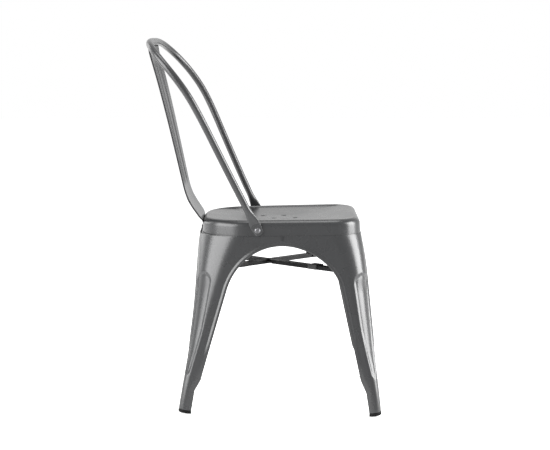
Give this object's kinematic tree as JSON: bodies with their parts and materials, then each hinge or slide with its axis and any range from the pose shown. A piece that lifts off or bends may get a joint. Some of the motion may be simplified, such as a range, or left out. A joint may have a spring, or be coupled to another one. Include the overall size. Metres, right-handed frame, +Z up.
{
  "type": "bistro chair",
  "caption": "Stackable pressed-metal bistro chair with a dished seat, arched sheet legs, a bent tube back hoop and a central back splat.",
  "frame": {"origin": "on the floor, at the middle of the chair's overall box", "axes": "+Z up; the sitter faces -Y; +X is the sitter's left"},
  "size_m": [0.4436, 0.5306, 0.8448],
  "materials": {
    "frame_coat": "satin dark grey powder coat",
    "brace_coat": "satin black powder coat",
    "bolt_steel": "plain zinc-plated steel",
    "pad_rubber": "matt black rubber",
    "glide_plastic": "matt black plastic"
  },
  "bodies": {
    "root": {"seat_pan": "frame_coat", "front_left_leg": "frame_coat", "front_right_leg": "frame_coat", "rear_left_leg": "frame_coat", "rear_right_leg": "frame_coat", "back_hoop": "frame_coat", "back_splat": "frame_coat", "hoop_bolts": "bolt_steel", "hoop_washers": "bolt_steel", "hoop_nuts": "bolt_steel", "splat_bolts": "frame_coat", "splat_nuts": "bolt_steel", "brace_bar_upper": "brace_coat", "brace_bar_lower": "brace_coat", "brace_rivet": "brace_coat", "brace_bolts": "bolt_steel", "brace_nuts": "bolt_steel", "brace_bracket_front_left": "brace_coat", "stacking_pad_front_left": "pad_rubber", "foot_glide_front_left": "glide_plastic", "brace_bracket_front_right": "brace_coat", "stacking_pad_front_right": "pad_rubber", "foot_glide_front_right": "glide_plastic", "brace_bracket_rear_left": "brace_coat", "stacking_pad_rear_left": "pad_rubber", "foot_glide_rear_left": "glide_plastic", "brace_bracket_rear_right": "brace_coat", "stacking_pad_rear_right": "pad_rubber", "foot_glide_rear_right": "glide_plastic"}
  },
  "joints": []
}
